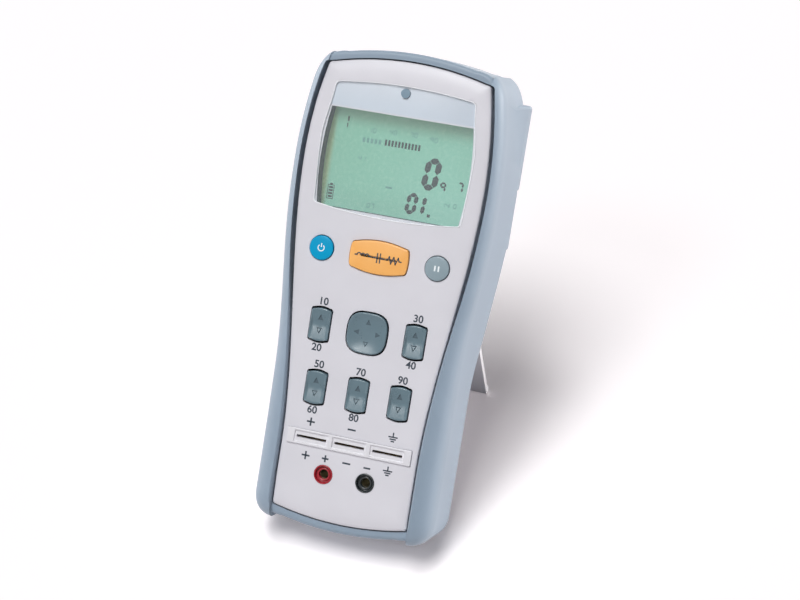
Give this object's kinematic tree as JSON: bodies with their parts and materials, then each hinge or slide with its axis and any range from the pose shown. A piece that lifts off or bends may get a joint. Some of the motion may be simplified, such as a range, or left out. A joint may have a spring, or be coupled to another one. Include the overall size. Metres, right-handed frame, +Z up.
{
  "type": "handheld component tester",
  "caption": "Handheld meter for inductance, capacitance and resistance in a rubber boot, with push buttons, rocker keys, lead slots, two terminals and a folding kickstand.",
  "frame": {"origin": "on the ground, at the middle of the space that the standing meter fills", "axes": "+Z up, +X to the right of someone facing the meter, +Y away from them, towards the kickstand"},
  "size_m": [0.0946, 0.1379, 0.196],
  "materials": {
    "boot_rubber": "blue-grey moulded rubber, fine satin grain",
    "case_white": "off-white moulded plastic, fine satin texture",
    "window_clear": "clear acrylic with a pale blue-grey printed head panel",
    "lens_grey": "tinted translucent plastic",
    "frame_dark": "dark grey moulded plastic",
    "lcd_green": "grey-green liquid crystal cell with dark segments",
    "reflector_pale": "pale light plate",
    "board_green": "green solder resist on glass fibre",
    "chip_black": "black moulded packages",
    "mat_grey": "grey silicone rubber",
    "button_blue": "cyan-blue plastic, satin, with a white power mark",
    "button_orange": "warm orange plastic, satin",
    "button_grey": "blue-grey plastic, satin",
    "key_teal": "grey-teal plastic, satin, with engraved arrows",
    "socket_white": "bright white plastic",
    "contact_gold": "gold-plated spring metal",
    "jack_red": "deep red plastic",
    "jack_black": "black plastic",
    "sleeve_nickel": "nickel-plated brass",
    "battery_black": "printed metal jacket",
    "steel": "zinc-plated steel",
    "stand_white": "white moulded plastic"
  },
  "bodies": {
    "meter": {"boot": "boot_rubber", "front_shell": "case_white", "rear_shell": "case_white", "window_lens": "window_clear", "status_lens": "lens_grey", "display_frame": "frame_dark", "display_glass": "lcd_green", "display_reflector": "reflector_pale", "main_board": "board_green", "board_chips": "chip_black", "buzzer": "chip_black", "keypad_mat": "mat_grey", "socket_bar": "socket_white", "socket_contacts": "contact_gold", "red_jack": "jack_red", "black_jack": "jack_black", "jack_sleeves": "sleeve_nickel", "battery": "battery_black", "battery_contacts": "contact_gold", "battery_door": "case_white", "door_screw": "steel", "case_screws": "steel", "board_screws": "steel", "hinge_pin": "steel"},
    "power_button": {"power_button": "button_blue"},
    "test_button": {"test_button": "button_orange"},
    "hold_button": {"hold_button": "button_grey"},
    "cal_key": {"cal_key": "key_teal"},
    "setup_key": {"setup_key": "key_teal"},
    "mode_key": {"mode_key": "key_teal"},
    "frequency_key": {"frequency_key": "key_teal"},
    "zero_key": {"zero_key": "key_teal"},
    "pad_gimbal": {"pad_gimbal": "frame_dark"},
    "nav_pad": {"nav_pad": "key_teal"},
    "kickstand": {"kickstand": "stand_white"}
  },
  "joints": [
    {"name": "kickstand_hinge", "type": "hinge", "parent": "meter", "child": "kickstand", "pos_m": [0, 0.022, 0.10409], "axis": [1, 0, 0], "range_deg": [-53.6, 0]},
    {"name": "power_press", "type": "slide", "parent": "meter", "child": "power_button", "axis": [0, 0.8554, -0.518], "range_m": [0, 0.001], "stiffness_N_per_m": 900},
    {"name": "test_press", "type": "slide", "parent": "meter", "child": "test_button", "axis": [0, 0.8554, -0.518], "range_m": [0, 0.001], "stiffness_N_per_m": 1200},
    {"name": "hold_press", "type": "slide", "parent": "meter", "child": "hold_button", "axis": [0, 0.8554, -0.518], "range_m": [0, 0.001], "stiffness_N_per_m": 900},
    {"name": "cal_rock", "type": "hinge", "parent": "meter", "child": "cal_key", "pos_m": [-0.0214, -0.0219, 0.09222], "axis": [1, 0, 0], "range_deg": [-4, 4], "stiffness_Nm_per_rad": 0.09},
    {"name": "setup_rock", "type": "hinge", "parent": "meter", "child": "setup_key", "pos_m": [0.0214, -0.0219, 0.09222], "axis": [1, 0, 0], "range_deg": [-4, 4], "stiffness_Nm_per_rad": 0.09},
    {"name": "mode_rock", "type": "hinge", "parent": "meter", "child": "mode_key", "pos_m": [-0.019, -0.03604, 0.06887], "axis": [1, 0, 0], "range_deg": [-4, 4], "stiffness_Nm_per_rad": 0.09},
    {"name": "frequency_rock", "type": "hinge", "parent": "meter", "child": "frequency_key", "pos_m": [0, -0.03604, 0.06887], "axis": [1, 0, 0], "range_deg": [-4, 4], "stiffness_Nm_per_rad": 0.09},
    {"name": "zero_rock", "type": "hinge", "parent": "meter", "child": "zero_key", "pos_m": [0.019, -0.03604, 0.06887], "axis": [1, 0, 0], "range_deg": [-4, 4], "stiffness_Nm_per_rad": 0.09},
    {"name": "pad_tilt_up_down", "type": "hinge", "parent": "meter", "child": "pad_gimbal", "pos_m": [0, -0.02122, 0.0918], "axis": [1, 0, 0], "range_deg": [-4, 4], "stiffness_Nm_per_rad": 0.12},
    {"name": "pad_tilt_sideways", "type": "hinge", "parent": "pad_gimbal", "child": "nav_pad", "pos_m": [0, -0.02122, 0.0918], "axis": [0, 0.518, 0.8554], "range_deg": [-4, 4], "stiffness_Nm_per_rad": 0.12}
  ]
}
